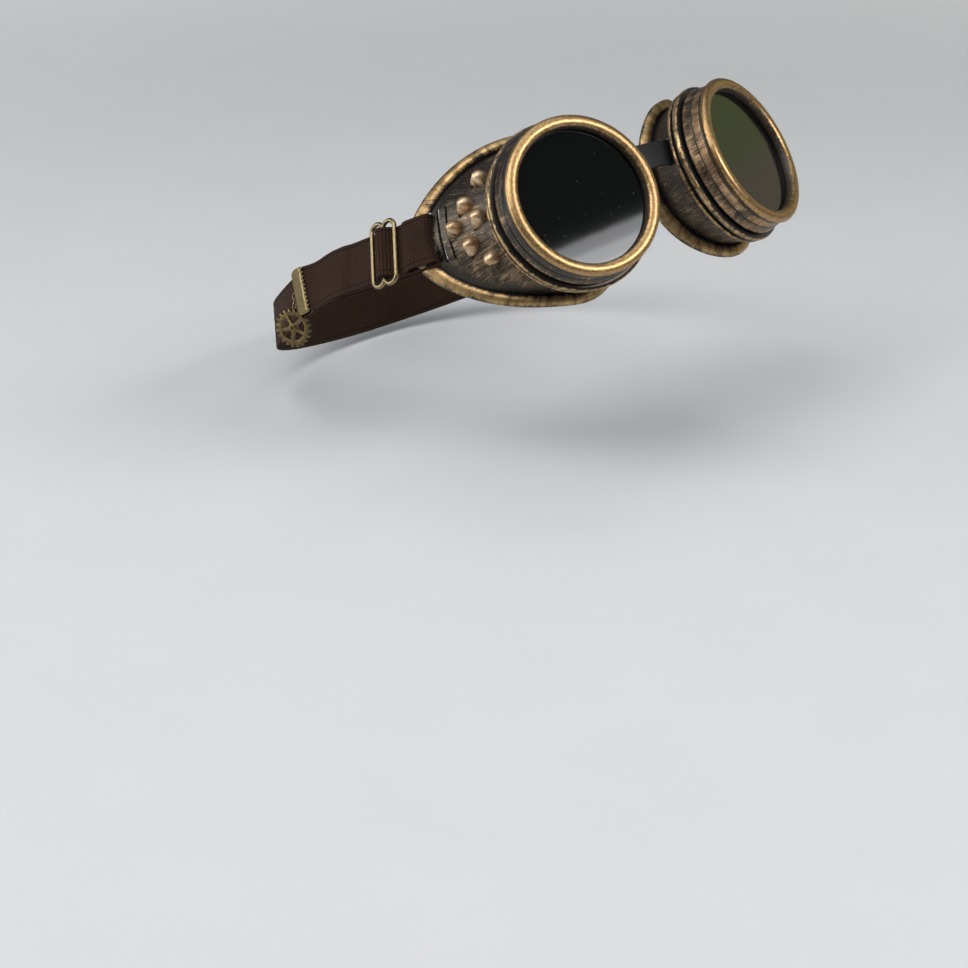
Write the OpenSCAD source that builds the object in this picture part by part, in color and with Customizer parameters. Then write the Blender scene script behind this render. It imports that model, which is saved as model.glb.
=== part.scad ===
// Welding goggles: two threaded eye cups on a rubber nose bridge, with
// screw-on lens rings and an elastic head strap.
// Millimetres. +Z up, lenses face -Y, +X is the wearer's left.
// The origin lies midway between the fronts of the two lens rings.

/* [Frame] */
// Distance between the centres of the two lens rings
cup_spacing = 92.7; // [88:0.1:100]
// Outward turn of each lens axis from straight ahead, degrees
cup_yaw = 14.7; // [10:0.1:18]
// Roll of each cup's flange about its lens axis, temple end up, degrees
flange_roll = 12.9; // [8:0.1:16]

/* [Lens rings] */
// Outside radius of the polished bead at the front of a ring
bead_r = 30; // [29:0.1:31]
// Radius of the opening that shows the lens
opening_r = 25.1; // [24:0.1:25.6]
// Length of the ring behind the widest line of the bead
skirt_len = 9.2; // [8:0.1:9.6]
// Radius of the plain bore that runs over the thread's crest
ring_bore_r = 27.6; // [27.5:0.05:27.8]

/* [Thread] */
// Pitch of the screw thread between a ring and its cup
thread_pitch = 1.6; // [1.2:0.1:2]
// Radius of the thread's crest on the cup's neck
thread_crest_r = 27.3; // [27:0.05:27.3]
// Radius of the neck under the thread
neck_r = 26.6; // [26.2:0.05:26.7]

/* [Lenses] */
// Radius of each lens disc
lens_r = 26.5; // [26:0.05:26.5]
// Thickness of the dark filter lens
dark_t = 1.8; // [1.4:0.1:1.8]
// Thickness of the clear cover lens behind it
clear_t = 1.0; // [0.8:0.1:1]
// Thickness of the rubber washer between lens and cup
gasket_t = 0.7; // [0.5:0.05:0.7]

/* [Cups] */
// Radius of the eye opening through a cup's neck
eye_r = 23.8; // [22:0.1:24]
// Radius of the front decorative ridge
ridge_r = 32; // [31.4:0.1:32.4]
// Outside radius where the side wall leaves the ridges
wall_r = 29.4; // [29:0.1:30]
// Thickness of the side wall, measured across the cup
wall_t = 2.3; // [1.8:0.1:2.6]
// Reach of the flange towards the nose
flange_nose = 29; // [27:0.5:32]
// Half height of the flange
flange_half = 32.9; // [31:0.1:35]
// Reach of the flange towards the temple
flange_temple = 49.2; // [48:0.1:50]
// Width of the rolled rim along the flange's edge
rim_w = 4.6; // [4:0.1:5]
// Radius of each moulded dome stud
stud_r = 2.9; // [2.4:0.1:3.1]

/* [Nose bridge] */
// Height of the rubber strip
bridge_h = 9.6; // [8:0.1:10]
// Thickness of the rubber strip
bridge_t = 1.6; // [1.2:0.1:1.8]

/* [Head strap] */
// Width of the elastic strap
strap_w = 18.4; // [17:0.1:18.6]
// Thickness of the elastic strap
strap_t = 1; // [0.8:0.05:1]

/* [Strap hardware] */
// Wire radius of the strap slider
slider_wire = 0.85; // [0.7:0.05:0.85]
// Distance from the slider's centre bar to each outer bar
slider_half = 5.6; // [5.2:0.1:5.8]
// Length of the ribbon crimp across the strap
crimp_l = 19; // [18.8:0.1:20]
// Outside radius of the gear charm over its teeth
gear_r = 7.5; // [7:0.1:7.6]
// Number of teeth on the gear charm
gear_teeth = 20; // [16:1:24]

/* [Hidden] */
$fn = 96;

c0 = cup_spacing / 2;

// ---- stack of parts along a lens axis, w = distance forward of the bead's widest line
w_lip = -1.9;
w_dark = w_lip - 0.1;
w_clear = w_dark - dark_t - 0.1;
w_gasket = w_clear - clear_t - 0.05;
w_neck = w_gasket - gasket_t - 0.05;
w_wall = -16.2;

// Lens frame of the left cup: x towards the temple, y up, z forward along the lens axis
module lens_frame() translate([c0, 0, 0]) rotate([0, 0, cup_yaw]) rotate([90, 0, 0]) children();
module right_side() mirror([1, 0, 0]) children();

// ---- flange: outline at the angle t and depth behind the lens
function flange_d(x) = 24.3 + 0.01 * x * x;
function flange_p(t) = let (c = cos(t), s = sin(t))
    c >= 0 ? [flange_temple * pow(c, 0.83), sign(s) * flange_half * pow(abs(s), 1.25)]
           : [flange_nose * c, flange_half * s];
// one radial section of the cup's shell, as [radius, w] pairs, outside then inside
function shell_section(t) = let (
    p = flange_p(t), ro = norm(p), cx = p[0] / ro, r1 = ro - rim_w,
    d1 = flange_d(r1 * cx), dm = flange_d((ro - rim_w / 2) * cx), dc = flange_d((ro - 0.9) * cx), dd = flange_d(ro * cx),
    w1 = -d1 + 0.3)
    [[wall_r - 0.1, -14.6],
     [wall_r, w_wall],
     [wall_r + (r1 - wall_r) / 3, w_wall + (w1 - w_wall) / 3],
     [wall_r + (r1 - wall_r) * 2 / 3, w_wall + (w1 - w_wall) * 2 / 3],
     [r1, w1],
     [r1 + 0.8, -d1 + 1.1 - (flange_d((r1 + 0.8) * cx) - d1)],
     [ro - rim_w / 2, -dm + 1.4],
     [ro - 0.9, -dc + 0.9],
     [ro, -dd - 0.1],
     [ro - 0.6, -dd - 1.2],
     [r1 + 0.6, -d1 - 1.5],
     [wall_r - wall_t + (r1 - wall_r) * 2 / 3, w_wall + (w1 - w_wall) * 2 / 3 - 0.6],
     [wall_r - wall_t + (r1 - wall_r) / 3, w_wall + (w1 - w_wall) / 3 - 0.3],
     [wall_r - wall_t - 0.2, -14.6]];
function shell_ring(t) = let (p = flange_p(t), ro = norm(p))
    [for (q = shell_section(t)) [q[0] * p[0] / ro, q[0] * p[1] / ro, q[1]]];

// closed lattice of n rings with k points each, both ways round
module ring_lattice(rings) {
    n = len(rings);
    k = len(rings[0]);
    polyhedron(
        points = [for (r = rings) for (q = r) q],
        faces = [for (i = [0 : n - 1]) for (j = [0 : k - 1]) let (
            a = i * k + j, b = i * k + (j + 1) % k,
            c = ((i + 1) % n) * k + (j + 1) % k, d = ((i + 1) % n) * k + j)
            for (f = [[a, c, b], [a, d, c]]) f]);
}

// tapered screw thread standing on the neck, hand = 1 for right-handed along +z
thread_turns = 2;
thread_seg = 40;
function thread_prof() = let (h = thread_crest_r - neck_r)
    [[neck_r - 0.4, -0.55], [neck_r + h, -0.2], [neck_r + h, 0.2], [neck_r - 0.4, 0.55]];
module thread(hand) {
    n = thread_turns * thread_seg;
    rings = [for (i = [0 : n]) let (
        a = hand * 360 * i / thread_seg, z = thread_pitch * i / thread_seg,
        e = min(1, min(i, n - i) / 8))
        [for (q = thread_prof()) let (r = neck_r - 0.4 + (q[0] - neck_r + 0.4) * (0.3 + 0.7 * e))
            [r * cos(a), r * sin(a), z + q[1]]]];
    k = 4;
    sides = [for (i = [0 : n - 1]) for (j = [0 : k - 1]) let (
        a = i * k + j, b = i * k + (j + 1) % k, c = (i + 1) * k + (j + 1) % k, d = (i + 1) * k + j)
        for (f = hand > 0 ? [[a, b, c], [a, c, d]] : [[a, c, b], [a, d, c]]) f];
    caps = hand > 0
        ? [[0, 2, 1], [0, 3, 2], [n * k, n * k + 1, n * k + 2], [n * k, n * k + 2, n * k + 3]]
        : [[0, 1, 2], [0, 2, 3], [n * k, n * k + 2, n * k + 1], [n * k, n * k + 3, n * k + 2]];
    polyhedron(points = [for (r = rings) for (q = r) q], faces = concat(sides, caps));
}

// ---- neck with its two ridges
module neck() rotate_extrude(convexity = 4)
    polygon([[eye_r, w_neck], [neck_r - 0.3, w_neck], [neck_r, w_neck - 0.3], [neck_r, -9.9],
             [30.9, -10.3], [31.7, -10.6], [ridge_r, -11.2], [ridge_r, -12.0], [31.6, -12.7], [30.6, -13.0],
             [30.0, -13.2], [30.0, -13.7], [30.7, -13.9], [31.3, -14.3], [31.4, -14.9], [31.0, -15.6],
             [wall_r + 0.1, -16.0], [wall_r - 0.3, -16.5], [eye_r, -16.5]]);

// temple slots are laid out along the side wall: x across the wall outwards, z along it
wall_a = atan2(15.1, 27.2);
module wall_frame(x, w) translate([x, 0.9, w]) rotate([0, -wall_a, 0]) children();
strap_a = 32;
module strap_frame() translate([43, 0.9, -40.3]) rotate([0, -strap_a, 0]) children();
module slot_cuts() {
    wall_frame(42.9, -40.3) translate([0, 0, -0.2]) cube([14, 19.8, 2.4], center = true);
    wall_frame(40.9, -36.6) cube([9, 19, 0.9], center = true);
    wall_frame(39.1, -33.2) cube([9, 19, 0.7], center = true);
    // seat for the strap's inner layer behind the end bar, turned to the strap's lean
    strap_frame() translate([-0.8, 0, 0]) rotate([0, 0, 6.5]) translate([-5.3, -10.4, -19]) cube([5.3, 20.8, 20.2]);
}
// studs: three, two and one, pointing to the temple
stud_at = [[28.6, 16.1, -20.5], [34.6, 8.0, -24.8], [33.0, 1.5, -20.0],
           [38.6, 1.1, -29.5], [35.6, -7.0, -25.4], [30.4, -14.0, -21.4]];
module studs() for (q = stud_at) translate(q) {
    sphere(r = stud_r, $fn = 40);
    rotate([180, 0, 0]) cylinder(r1 = stud_r * 0.98, r2 = 0.7, h = 7, $fn = 40);
}
bridge_w = -18.3;
bridge_z = 9.9;
bridge_u = -26.3;
module cup(hand) lens_frame() difference() {
    union() {
        neck();
        translate([0, 0, w_neck - 0.9 - thread_turns * thread_pitch + 0.2]) thread(hand);
        rotate([0, 0, flange_roll]) {
            ring_lattice([for (i = [0 : 71]) shell_ring(i * 5)]);
            studs();
        }
    }
    rotate([0, 0, flange_roll]) slot_cuts();
    // slot for the nose bridge
    translate([-25, bridge_z, bridge_w]) cube([15, bridge_h + 1, bridge_t + 0.9], center = true);
}

// ---- lens ring: beaded front, flared skirt with a fine line, plain bore over the thread
module lens_ring() lens_frame() rotate_extrude(convexity = 6)
    polygon(concat(
        [[opening_r, w_lip], [opening_r, -0.8]],
        [for (a = [150 : -12 : -18]) [27.62 + 2.38 * cos(a) , -0.2 + 1.75 * sin(a)]],
        [[29.2, -1.7], [29.05, -2.2], [29.3, -2.6], [29.7, -5.3], [29.35, -5.5], [29.75, -5.7],
         [30.3, -skirt_len + 0.6], [30.1, -skirt_len],
         [ring_bore_r, -skirt_len], [ring_bore_r, w_neck + 0.4],
         [lens_r + 0.3, w_neck + 0.4], [lens_r + 0.3, w_lip]]));
module disc(r, w, t, e) lens_frame() rotate_extrude()
    polygon([[0, w], [r - e, w], [r, w - e], [r, w - t + e], [r - e, w - t], [0, w - t]]);
module gasket() lens_frame() rotate_extrude()
    polygon([[eye_r - 1, w_gasket], [lens_r - 0.1, w_gasket], [lens_r - 0.1, w_gasket - gasket_t], [eye_r - 1, w_gasket - gasket_t]]);

// ---- nose bridge: a strip bent to the two lens axes, with a bead at each end inside the cup
bridge_x = c0 + bridge_u * cos(cup_yaw) + bridge_w * sin(cup_yaw);
bridge_y = bridge_u * sin(cup_yaw) - bridge_w * cos(cup_yaw);
bridge_R = bridge_x / sin(cup_yaw);
bridge_span = cup_yaw + 7.4;
function bridge_q(a, r) = [r * sin(a), bridge_y + bridge_R * cos(cup_yaw) - r * cos(a)];
module bridge() translate([0, 0, bridge_z - bridge_h / 2]) linear_extrude(bridge_h) {
    polygon(concat(
        [for (i = [-24 : 24]) bridge_q(i * bridge_span / 24, bridge_R + bridge_t / 2)],
        [for (i = [24 : -1 : -24]) bridge_q(i * bridge_span / 24, bridge_R - bridge_t / 2)]));
    for (s = [-1, 1]) translate(bridge_q(s * bridge_span, bridge_R)) rotate([0, 0, s * bridge_span]) circle(r = 1.5, $fn = 24);
}

// ---- head strap: middle line of the two layers on the left side, from the cup's slot to the back of the head
route = [[76.5, 49.5, 10.5], [80.1, 61, 12.4], [83, 76.6, 15], [84.5, 98.4, 18.1], [83, 120.2, 19.8],
         [77.9, 141.5, 19.6], [69.6, 160.8, 19.8], [57, 176.1, 21], [40, 188, 22], [20.5, 195, 22.5], [0, 197, 22.5],
         [-20.5, 195, 22.5]];
// how far the strap's face leans in at the top, degrees, at the same points
lean = [14.5, 19, 22.5, 23, 22, 21.5, 20, 17, 14, 12, 11, 12];
route_s = [for (i = 0, s = 0; i < len(route); s = s + (i < len(route) - 1 ? norm(route[i + 1] - route[i]) : 0), i = i + 1) s];
function seg_of(s, i = 0) = (i >= len(route) - 2 || s < route_s[i + 1]) ? i : seg_of(s, i + 1);
function slope(v, i) = i == 0 ? (v[1] - v[0]) / route_s[1]
    : i == len(v) - 1 ? (v[i] - v[i - 1]) / (route_s[i] - route_s[i - 1])
    : let (h0 = route_s[i] - route_s[i - 1], h1 = route_s[i + 1] - route_s[i])
      ((v[i] - v[i - 1]) / h0 * h1 + (v[i + 1] - v[i]) / h1 * h0) / (h0 + h1);
function curve(v, s) = let (
    i = seg_of(s), h = route_s[i + 1] - route_s[i], t = (s - route_s[i]) / h,
    t2 = t * t, t3 = t2 * t)
    (2 * t3 - 3 * t2 + 1) * v[i] + (t3 - 2 * t2 + t) * h * slope(v, i)
    + (3 * t2 - 2 * t3) * v[i + 1] + (t3 - t2) * h * slope(v, i + 1);
function unit(v) = v / norm(v);
function strap_d(s) = unit(curve(route, s + 0.5) - curve(route, s - 0.5));
// outward normal of the strap's face and its width direction
function strap_v(s) = let (d = strap_d(s), o = unit([d[1], -d[0], 0]), u = unit(cross(o, d)), f = curve(lean, s))
    cos(f) * u - sin(f) * o;
function strap_n(s) = cross(strap_d(s), strap_v(s));

slider_s = 20.2;
slider_n = 1.4;
crimp_s = 64.5;
tail_s = 69;
strap_end = route_s[10];
function smooth(x) = let (t = max(0, min(1, x))) t * t * (3 - 2 * t);
function bump(x) = abs(x) >= 1 ? 0 : (1 + cos(180 * x)) / 2;
// weave of the double strap through the slider: under the outer bars, over the centre bar
function weave(s) = let (x = s - slider_s)
    4.5 * bump(x / slider_half) - 0.85 * (smooth((x + 10) / 3.4) - smooth((x - 6.6) / 3.4));
function gap(s) = 0.62 + 1.28 * (1 - smooth((s - 9.2) / 4));
function mid(s) = curve(route, s) + weave(s) * strap_n(s);
function mid_n(s) = let (t = unit(mid(s + 0.2) - mid(s - 0.2))) unit(cross(t, strap_v(s)));
// the free tail lifts off the main strap towards its end and is cut a little askew
function tail_lift(s) = let (x = max(0, s - 56)) x < 8 ? 0.02 * x * x : 1.28 + 0.32 * (x - 8);
function tail_skew(s) = 11 * smooth((s - 56) / 9);
function tail_drop(s) = 1.1 * smooth((s - 48) / 14);
function centre(s, side) = mid(s) + side * (gap(s) + (side > 0 ? tail_lift(s) : 0)) * mid_n(s)
    - (side > 0 ? tail_drop(s) : 0) * strap_v(s);
function along(s, side) = unit(centre(s + 0.2, side) - centre(s - 0.2, side));
function skewed(s, side) = let (k = side > 0 ? tail_skew(s) : 0) strap_v(s) + tan(k) * along(s, side);
// one station: [centre, width direction, thickness direction]
function station(s, side) = [centre(s, side), skewed(s, side), side * unit(cross(along(s, side), strap_v(s)))];
function turn(a) = let (n = strap_n(1.6), d = strap_d(1.6), r = gap(1.6))
    [curve(route, 1.6) + r * (cos(a) * n - sin(a) * d), strap_v(1.6), cos(a) * n - sin(a) * d];
layer_s = concat([for (s = [1.7 : 2 : 11.8]) s], [for (s = [12.6 : 0.9 : 28.8]) s], [for (s = [31 : 4.2 : 73]) s]);
half_stations = concat(
    [station(tail_s, 1)],
    [for (i = [len(layer_s) - 1 : -1 : 0]) if (layer_s[i] < tail_s - 1) station(layer_s[i], 1)],
    [for (a = [0 : 18 : 180]) turn(a)],
    [for (s = layer_s) station(s, -1)],
    [for (s = [77.5 : 4.7 : strap_end - 3]) station(s, -1)]);
function flip(v) = [-v[0], v[1], v[2]];
all_stations = concat(half_stations,
    [for (i = [len(half_stations) - 1 : -1 : 0]) let (q = half_stations[i]) [flip(q[0]), flip(q[1]), flip(q[2])]]);
module ribbon(st, w, t) {
    n = len(st);
    pts = [for (q = st) for (c = [[-1, -1], [1, -1], [1, 1], [-1, 1]]) q[0] + c[0] * w / 2 * q[1] + c[1] * t / 2 * q[2]];
    sides = [for (i = [0 : n - 2]) for (j = [0 : 3]) let (
        a = i * 4 + j, b = i * 4 + (j + 1) % 4, c = (i + 1) * 4 + (j + 1) % 4, d = (i + 1) * 4 + j)
        for (f = [[a, b, c], [a, c, d]]) f];
    e = (n - 1) * 4;
    polyhedron(points = pts, faces = concat(sides, [[0, 2, 1], [0, 3, 2], [e, e + 1, e + 2], [e, e + 2, e + 3]]));
}

// places children on the left side's strap: x out from the head, y back along the strap, z across it
module on_strap(s, n = 0) {
    d = strap_d(s);
    v = strap_v(s);
    o = strap_n(s);
    p = curve(route, s) + n * o;
    multmatrix([[o[0], d[0], v[0], p[0]], [o[1], d[1], v[1], p[1]], [o[2], d[2], v[2], p[2]], [0, 0, 0, 1]]) children();
}

// ---- slider: one wire bent into two D-shaped loops that share the centre bar
module slider() on_strap(slider_s, slider_n) {
    h = 9.2;
    R = slider_half / 2;
    for (y = [-slider_half, 0, slider_half]) translate([0, y, -h]) cylinder(r = slider_wire, h = 2 * h, $fn = 32);
    for (s = [-1, 1]) for (y = [-R, R]) translate([0, y, s * h]) rotate([0, 90, 0]) rotate([0, 0, s > 0 ? 90 : -90])
        rotate_extrude(angle = 180, $fn = 48) translate([R, 0]) circle(r = slider_wire, $fn = 32);
}

// ---- ribbon crimp: two toothed plates joined by a folded back edge, with a small loop
crimp_len = 5.8;
crimp_gap = 0.7;
crimp_z = unit(skewed(crimp_s, 1));
crimp_x = unit(cross(along(crimp_s, 1), crimp_z));
crimp_y = cross(crimp_z, crimp_x);
crimp_p = centre(crimp_s, 1);
module placed(p, x, y, z) multmatrix([[x[0], y[0], z[0], p[0]], [x[1], y[1], z[1], p[1]], [x[2], y[2], z[2], p[2]], [0, 0, 0, 1]]) children();
module crimp_plate() linear_extrude(0.45) polygon(concat(
    [[crimp_len, -crimp_l / 2], [crimp_len, crimp_l / 2]],
    [for (i = [11 : -1 : 0]) for (k = [0.5, 0])
        if (i < 11 || k == 0) [k > 0 ? 0 : 1, -crimp_l / 2 + (i + k) * crimp_l / 11]]));
module crimp() placed(crimp_p, crimp_x, crimp_y, crimp_z) {
    for (x = [-crimp_gap - 0.45, crimp_gap]) translate([x, 0, 0]) rotate([90, 0, 90]) crimp_plate();
    translate([-crimp_gap - 0.45, crimp_len - 0.5, -crimp_l / 2]) cube([2 * crimp_gap + 0.9, 0.5, crimp_l]);
    translate([0, crimp_len + 0.9, 0]) rotate([0, 90, 0]) rotate_extrude($fn = 48) translate([1.2, 0]) circle(r = 0.4, $fn = 24);
}

// ---- gear charm hanging from a jump ring in the crimp's loop
gear_in = 4.9;
gear_t = 1.2;
ring_wire = 0.35;
ring_seat = 4.3;
loop_p = crimp_p + (crimp_len + 0.9) * crimp_y;
gear_p = [89.2, 126.2, 9.0];
gear_y = unit(loop_p - gear_p);
gear_z = let (g = [0.9, -0.4, 0.0]) unit(g - (g * gear_y) * gear_y);
gear_x = cross(gear_y, gear_z);
ring_R = (norm(loop_p - gear_p) - ring_seat) / 2;
ring_q = let (q = unit(crimp_x) + gear_z) unit(q - (q * gear_y) * gear_y);
module gear() placed(gear_p, gear_x, gear_y, gear_z) difference() {
    union() {
        translate([0, 0, -gear_t / 2]) linear_extrude(gear_t) difference() {
            union() {
                circle(r = gear_r - 1.2);
                for (i = [0 : gear_teeth - 1]) rotate([0, 0, i * 360 / gear_teeth])
                    polygon([[gear_r - 1.5, -0.72], [gear_r, -0.42], [gear_r, 0.42], [gear_r - 1.5, 0.72]]);
            }
            difference() {
                circle(r = gear_in);
                circle(r = 1.9);
                for (i = [0 : 4]) rotate([0, 0, 90 + 36 + i * 72]) translate([0, -0.6]) square([gear_in + 1, 1.2]);
            }
        }
        translate([0, 0, -1]) cylinder(r = 1.4, h = 2, $fn = 40);
    }
    translate([0, 0, -2]) cylinder(r = 0.6, h = 4, $fn = 24);
}
ring_x = cos(30) * ring_q + sin(30) * cross(ring_q, gear_y);
module jump_ring() placed(loop_p - ring_R * gear_y, ring_x, gear_y, cross(ring_x, gear_y))
    rotate_extrude($fn = 48) translate([ring_R, 0]) circle(r = ring_wire, $fn = 24);

module right_cup() right_side() color("#4a3a2c") cup(-1);
module left_cup() color("#4a3a2c") cup(1);
module right_lens_ring() right_side() color("#8f6a2c") lens_ring();
module left_lens_ring() color("#8f6a2c") lens_ring();
module right_dark_lens() right_side() color("#0c0e10") disc(lens_r, w_dark, dark_t, 0.3);
module left_dark_lens() color("#0c0e10") disc(lens_r, w_dark, dark_t, 0.3);
module right_clear_lens() right_side() color("#d8e2e4") disc(lens_r, w_clear, clear_t, 0.2);
module left_clear_lens() color("#d8e2e4") disc(lens_r, w_clear, clear_t, 0.2);
module right_lens_gasket() right_side() color("#1c1c1c") gasket();
module left_lens_gasket() color("#1c1c1c") gasket();
module nose_bridge() color("#202024") bridge();
module head_strap() color("#3a241c") ribbon(all_stations, strap_w, strap_t);
module right_slider() right_side() color("#8a7448") slider();
module left_slider() color("#8a7448") slider();
module right_crimp() right_side() color("#8a7440") crimp();
module left_crimp() color("#8a7440") crimp();
module right_jump_ring() right_side() color("#8a7448") jump_ring();
module left_jump_ring() color("#8a7448") jump_ring();
module right_gear_charm() right_side() color("#6e5c34") gear();
module left_gear_charm() color("#6e5c34") gear();

right_cup();
left_cup();
right_lens_ring();
left_lens_ring();
right_dark_lens();
left_dark_lens();
right_clear_lens();
left_clear_lens();
right_lens_gasket();
left_lens_gasket();
nose_bridge();
head_strap();
right_slider();
left_slider();
right_crimp();
left_crimp();
right_jump_ring();
left_jump_ring();
right_gear_charm();
left_gear_charm();
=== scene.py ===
import math

import bmesh
import bpy
import numpy as np
from mathutils import Matrix, Vector


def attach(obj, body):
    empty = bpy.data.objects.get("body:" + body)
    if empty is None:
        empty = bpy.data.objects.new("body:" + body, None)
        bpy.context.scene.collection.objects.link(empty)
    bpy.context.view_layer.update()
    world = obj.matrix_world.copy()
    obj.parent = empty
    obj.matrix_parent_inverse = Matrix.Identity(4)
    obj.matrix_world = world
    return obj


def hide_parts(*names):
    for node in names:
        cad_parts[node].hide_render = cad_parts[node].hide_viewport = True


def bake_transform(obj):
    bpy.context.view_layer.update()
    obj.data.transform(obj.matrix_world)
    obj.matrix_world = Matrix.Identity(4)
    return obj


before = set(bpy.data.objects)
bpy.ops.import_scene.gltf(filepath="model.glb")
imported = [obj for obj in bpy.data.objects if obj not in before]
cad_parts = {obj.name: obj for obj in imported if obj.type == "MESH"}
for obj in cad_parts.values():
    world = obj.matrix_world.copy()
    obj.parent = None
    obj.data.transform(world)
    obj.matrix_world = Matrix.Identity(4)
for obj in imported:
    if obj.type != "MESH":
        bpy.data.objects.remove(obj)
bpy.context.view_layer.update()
scene = bpy.context.scene
MM = 0.001

# ------------------------------------------------------------------ camera
cam_data = bpy.data.cameras.new("camera")
cam = bpy.data.objects.new("camera", cam_data)
scene.collection.objects.link(cam)
CX = Vector((0.7072654, -0.58191845, -0.40143064))
CY = Vector((0.26082516, -0.31298346, 0.91324235))
CZ = Vector((-0.65707373, -0.75060793, -0.0695834))
CP = Vector((-0.6580625, -0.5878356, -0.1382742))
cam.matrix_world = Matrix(((CX[0], CY[0], CZ[0], CP[0]), (CX[1], CY[1], CZ[1], CP[1]),
                           (CX[2], CY[2], CZ[2], CP[2]), (0, 0, 0, 1)))
cam_data.sensor_width = 36
cam_data.lens = 90.0549
cam_data.clip_start = 0.01
cam_data.clip_end = 50
scene.camera = cam

UP = Vector((-0.04, -0.60, 0.80)).normalized()

# ------------------------------------------------------------------ node helper
class Graph:
    def __init__(self, name):
        self.mat = bpy.data.materials.new(name)
        self.mat.use_nodes = True
        self.nt = self.mat.node_tree
        self.nt.nodes.clear()
        self.out = self.nt.nodes.new("ShaderNodeOutputMaterial")
        self.bsdf = self.nt.nodes.new("ShaderNodeBsdfPrincipled")
        self.nt.links.new(self.bsdf.outputs[0], self.out.inputs["Surface"])

    def node(self, kind, **props):
        n = self.nt.nodes.new(kind)
        for k, v in props.items():
            setattr(n, k, v)
        return n

    def put(self, socket, value):
        if hasattr(value, "is_output"):
            self.nt.links.new(value, socket)
        else:
            socket.default_value = value

    def math(self, op, a, b=None, c=None, clamp=False):
        n = self.node("ShaderNodeMath", operation=op, use_clamp=clamp)
        for i, v in enumerate((a, b, c)):
            if v is not None:
                self.put(n.inputs[i], v)
        return n.outputs[0]

    def sep(self, v):
        n = self.node("ShaderNodeSeparateXYZ")
        self.put(n.inputs[0], v)
        return n.outputs

    def xyz(self, x, y, z):
        n = self.node("ShaderNodeCombineXYZ")
        for i, v in enumerate((x, y, z)):
            self.put(n.inputs[i], v)
        return n.outputs[0]

    def noise(self, vec, scale=1.0, detail=3.0, rough=0.55, dist=0.0):
        n = self.node("ShaderNodeTexNoise")
        self.put(n.inputs["Vector"], vec)
        n.inputs["Scale"].default_value = scale
        n.inputs["Detail"].default_value = detail
        n.inputs["Roughness"].default_value = rough
        n.inputs["Distortion"].default_value = dist
        return n.outputs["Fac"]

    def step(self, v, lo, hi, smooth=True):
        n = self.node("ShaderNodeMapRange")
        n.interpolation_type = "SMOOTHSTEP" if smooth else "LINEAR"
        n.clamp = True if not smooth else n.clamp
        self.put(n.inputs["Value"], v)
        self.put(n.inputs["From Min"], lo)
        self.put(n.inputs["From Max"], hi)
        return n.outputs["Result"]

    def mix(self, f, a, b):
        n = self.node("ShaderNodeMix", data_type="RGBA")
        self.put(n.inputs[0], f)
        self.put(n.inputs[6], a if hasattr(a, "is_output") else (*a, 1))
        self.put(n.inputs[7], b if hasattr(b, "is_output") else (*b, 1))
        return n.outputs[2]

    def lerp(self, f, a, b):
        n = self.node("ShaderNodeMix", data_type="FLOAT")
        self.put(n.inputs[0], f)
        self.put(n.inputs[2], a)
        self.put(n.inputs[3], b)
        return n.outputs[0]

    def attr(self, name):
        n = self.node("ShaderNodeAttribute", attribute_name=name)
        return n.outputs["Fac"]

    def bump(self, height, strength, distance):
        n = self.node("ShaderNodeBump")
        n.inputs["Strength"].default_value = strength
        n.inputs["Distance"].default_value = distance
        self.put(n.inputs["Height"], height)
        self.put(self.bsdf.inputs["Normal"], n.outputs[0])

    def object_mm(self):
        t = self.node("ShaderNodeTexCoord")
        n = self.node("ShaderNodeVectorMath", operation="SCALE")
        self.nt.links.new(t.outputs["Object"], n.inputs[0])
        n.inputs["Scale"].default_value = 1000
        return n.outputs[0]


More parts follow.
